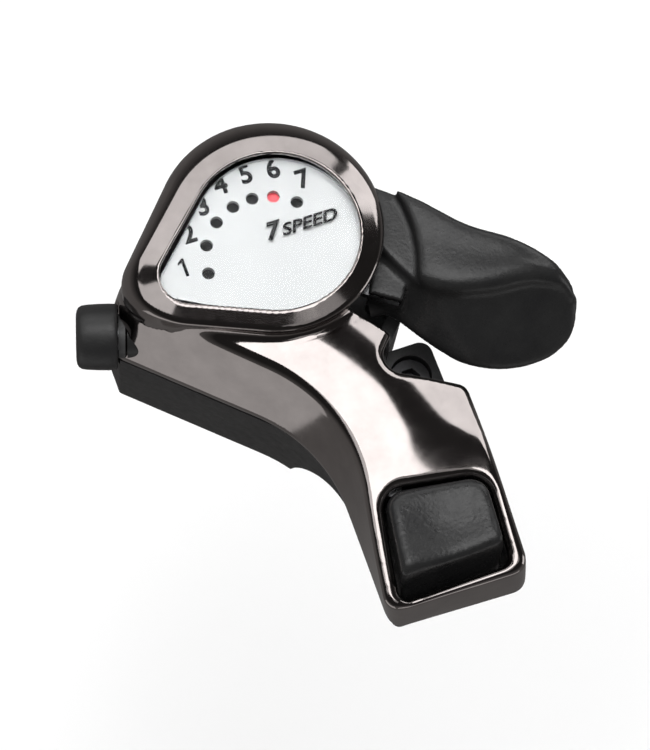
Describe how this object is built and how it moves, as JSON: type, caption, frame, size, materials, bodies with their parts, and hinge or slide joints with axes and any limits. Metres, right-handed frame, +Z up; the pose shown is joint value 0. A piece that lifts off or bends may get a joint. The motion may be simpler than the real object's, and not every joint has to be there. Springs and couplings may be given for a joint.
{
  "type": "bicycle thumb shifter",
  "caption": "Handlebar thumb shifter with a push lever, release button, gear display window, cable barrel adjuster and band clamp.",
  "frame": {"origin": "on the handlebar's axis, midway across the clamp band", "axes": "+X along the handlebar to the rider's right, +Y forward, +Z up, square to the gear display"},
  "size_m": [0.0733, 0.0803, 0.0468],
  "materials": {
    "smoked_chrome": "polished",
    "black_moulding": "fine grain",
    "lever_moulding": "semi-gloss grain",
    "button_moulding": "coarse grain",
    "dark_moulding": "matte",
    "dial_white": "matte",
    "signal_red": "gloss",
    "clear_lens": "polished",
    "zinc_steel": "zinc plated",
    "black_steel": "black phosphate",
    "spring_steel": "bright"
  },
  "bodies": {
    "root": {"base_housing": "black_moulding", "top_cover": "smoked_chrome", "cover_screws": "zinc_steel", "clamp_band": "zinc_steel", "clamp_bolt": "black_steel", "clamp_nut": "zinc_steel", "dial_lens": "clear_lens", "dial_plate": "dial_white", "mechanism_plate": "zinc_steel", "board_screws": "zinc_steel", "plate_posts": "zinc_steel", "upper_plate": "black_steel", "main_axle": "zinc_steel", "axle_nut": "zinc_steel", "holding_pawl_pin": "zinc_steel", "button_pin": "zinc_steel", "drum_return_spring": "spring_steel", "lever_return_spring": "spring_steel", "button_spring": "spring_steel"},
    "lever": {"thumb_lever": "lever_moulding", "lever_plate": "zinc_steel", "feed_pawl_pin": "zinc_steel"},
    "feed": {"feed_pawl": "zinc_steel"},
    "drum": {"cable_drum": "dark_moulding", "ratchet_wheel": "zinc_steel", "indicator_pointer": "dark_moulding", "indicator_dot": "signal_red"},
    "catch": {"holding_pawl": "zinc_steel"},
    "link": {"release_link": "zinc_steel"},
    "button": {"release_button": "button_moulding"},
    "adjuster_carrier": {"click_washer": "dark_moulding"},
    "adjuster": {"adjuster_barrel": "black_moulding", "adjuster_screw": "zinc_steel"}
  },
  "joints": [
    {"name": "lever_swing", "type": "hinge", "parent": "root", "child": "lever", "pos_m": [-0.0175, 0.0345, 0.0262], "axis": [0, 0, 1], "range_deg": [0, 45], "stiffness_Nm_per_rad": 0.03, "springref_deg": -14.32},
    {"name": "feed_pawl_pivot", "type": "hinge", "parent": "lever", "child": "feed", "pos_m": [-0.00604, 0.03033, 0.0246], "axis": [0, 0, 1], "range_deg": [-8, 0], "stiffness_Nm_per_rad": 0.0008, "springref_deg": 11.46},
    {"name": "drum_index", "type": "hinge", "parent": "root", "child": "drum", "pos_m": [-0.0175, 0.0345, 0.02], "axis": [0, 0, 1], "range_deg": [-21.5, 109.5]},
    {"name": "button_press", "type": "hinge", "parent": "root", "child": "button", "pos_m": [-0.0068, -0.0065, 0.019], "axis": [1, 0, 0], "range_deg": [0, 7], "stiffness_Nm_per_rad": 0.05, "springref_deg": -5.73, "deforming": ["button_spring"]},
    {"name": "link_slide", "type": "slide", "parent": "root", "child": "link", "axis": [0, -1, 0], "range_m": [0, 0.00086]},
    {"name": "catch_pivot", "type": "hinge", "parent": "root", "child": "catch", "pos_m": [-0.02847, 0.02791, 0.0246], "axis": [0, 0, 1], "range_deg": [-6.6, 0]},
    {"name": "adjuster_slide", "type": "slide", "parent": "root", "child": "adjuster_carrier", "axis": [-0.9511, 0.309, 0], "range_m": [0, 0.0024]},
    {"name": "adjuster_turn", "type": "hinge", "parent": "adjuster_carrier", "child": "adjuster", "pos_m": [-0.04369, 0.03481, 0.02], "axis": [-0.9511, 0.309, 0], "range_deg": [0, 1082]}
  ],
  "couplings": [
    {"joint": "link_slide", "follows": "button_press", "m_per_rad": 0.0069},
    {"joint": "catch_pivot", "follows": "button_press", "ratio": -0.9115},
    {"joint": "adjuster_turn", "follows": "adjuster_slide", "rad_per_m": 7854}
  ]
}
